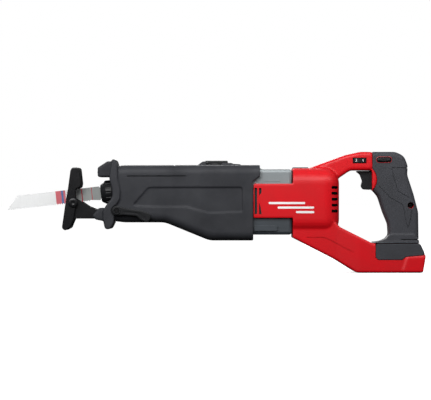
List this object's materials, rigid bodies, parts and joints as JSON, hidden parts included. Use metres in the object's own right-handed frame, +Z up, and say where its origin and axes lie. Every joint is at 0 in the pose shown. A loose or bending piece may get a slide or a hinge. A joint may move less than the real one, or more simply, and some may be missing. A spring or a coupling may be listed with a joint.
{
  "type": "reciprocating saw",
  "caption": "Cordless reciprocating saw, bare tool: rubber-booted gear case with pivoting shoe and blade, motor housing and loop handle over a battery foot.",
  "frame": {"origin": "centre of the bounding box at the underside of the battery foot", "axes": "+X along the tool from blade to handle, +Y across it to the tool's right side, +Z up"},
  "size_m": [0.5546, 0.086, 0.16],
  "materials": {
    "red_nylon": "satin moulded",
    "grip_rubber": "matt overmoulded",
    "boot_rubber": "matt moulded",
    "magnesium_casting": "cast",
    "dark_casting": "cast, dark coated",
    "black_steel": "black coated",
    "black_plastic": "moulded",
    "steel": "ground",
    "painted_blade": "painted",
    "bronze": "sintered",
    "copper": "wound and stamped",
    "clear_lens": "clear moulded"
  },
  "bodies": {
    "frame": {"housing_left": "red_nylon", "housing_right": "red_nylon", "grip_left": "grip_rubber", "grip_right": "grip_rubber", "foot_pad_left": "grip_rubber", "foot_pad_right": "grip_rubber", "gear_case_upper": "magnesium_casting", "gear_case_lower": "dark_casting", "boot": "boot_rubber", "lamp_lens": "clear_lens", "front_bushing": "bronze", "rear_bushing": "bronze", "spindle_seal": "boot_rubber", "gear_bearing": "steel", "front_motor_bearing": "steel", "rear_motor_bearing": "steel", "stator": "copper", "motor_controller": "black_plastic", "switch_body": "black_plastic", "terminal_block": "black_plastic", "terminal_left": "copper", "terminal_middle": "copper", "terminal_right": "copper", "trigger_spring": "steel", "case_screw_front_left": "steel", "case_screw_front_right": "steel", "case_screw_rear_left": "steel", "case_screw_rear_right": "steel", "housing_screw_arm": "steel", "housing_screw_barrel": "steel", "housing_screw_keel": "steel", "housing_screw_grip_top": "steel", "housing_screw_grip": "steel", "housing_screw_foot": "steel"},
    "spindle": {"spindle": "steel", "clamp_core": "black_steel", "blade": "painted_blade"},
    "collar": {"clamp_collar": "black_plastic", "clamp_spring": "steel"},
    "post": {"shoe_post": "black_steel"},
    "shoe": {"shoe": "black_steel", "shoe_pin_left": "steel", "shoe_pin_right": "steel"},
    "lever": {"release_lever": "black_plastic", "lever_shaft": "steel"},
    "selector": {"orbit_knob": "black_plastic", "orbit_shaft": "steel"},
    "dial": {"speed_dial": "black_plastic"},
    "trigger": {"trigger": "black_plastic"},
    "lock": {"lock_button": "black_plastic"},
    "motor": {"rotor": "black_steel", "motor_shaft": "steel", "pinion": "steel", "fan": "black_plastic"},
    "crank": {"crank_gear": "steel"},
    "weight": {"counterweight": "black_steel"}
  },
  "joints": [
    {"name": "spindle_stroke", "type": "slide", "parent": "frame", "child": "spindle", "axis": [-0.9936, 0, -0.1132], "range_m": [-0.016, 0.016]},
    {"name": "collar_twist", "type": "hinge", "parent": "spindle", "child": "collar", "pos_m": [-0.145, 0, 0.10608], "axis": [-0.9936, 0, -0.1132], "range_deg": [0, 60], "stiffness_Nm_per_rad": 0.05},
    {"name": "post_slide", "type": "slide", "parent": "frame", "child": "post", "axis": [-1, 0, 0], "range_m": [0, 0.025]},
    {"name": "shoe_pivot", "type": "hinge", "parent": "post", "child": "shoe", "pos_m": [-0.1885, 0, 0.0923], "axis": [0, 1, 0], "range_deg": [-30, 20]},
    {"name": "lever_turn", "type": "hinge", "parent": "frame", "child": "lever", "pos_m": [-0.1302, 0, 0.0817], "axis": [0, 1, 0], "range_deg": [0, 60]},
    {"name": "selector_turn", "type": "hinge", "parent": "frame", "child": "selector", "pos_m": [0.0012, 0, 0.142], "axis": [0, 0, 1], "range_deg": [0, 90]},
    {"name": "dial_turn", "type": "hinge", "parent": "frame", "child": "dial", "pos_m": [0.1912, -0.0023, 0.1484], "axis": [0, 0, 1], "range_deg": [-130, 130]},
    {"name": "trigger_pull", "type": "slide", "parent": "frame", "child": "trigger", "axis": [1, 0, 0], "range_m": [0, 0.008], "stiffness_N_per_m": 900, "springref_m": -0.002, "deforming": ["trigger_spring"]},
    {"name": "lock_push", "type": "slide", "parent": "frame", "child": "lock", "axis": [0, 1, 0], "range_m": [0, 0.004]},
    {"name": "crank_spin", "type": "hinge", "parent": "frame", "child": "crank", "pos_m": [0.012, 0, 0.088], "axis": [0, 0, 1], "continuous": true},
    {"name": "motor_spin", "type": "hinge", "parent": "frame", "child": "motor", "pos_m": [0.13, 0, 0.097], "axis": [1, 0, 0], "continuous": true},
    {"name": "weight_slide", "type": "slide", "parent": "frame", "child": "weight", "axis": [1, 0, 0], "range_m": [-0.016, 0.016]}
  ],
  "couplings": [
    {"joint": "motor_spin", "follows": "crank_spin", "ratio": 3},
    {"joint": "weight_slide", "follows": "spindle_stroke", "ratio": 1}
  ]
}
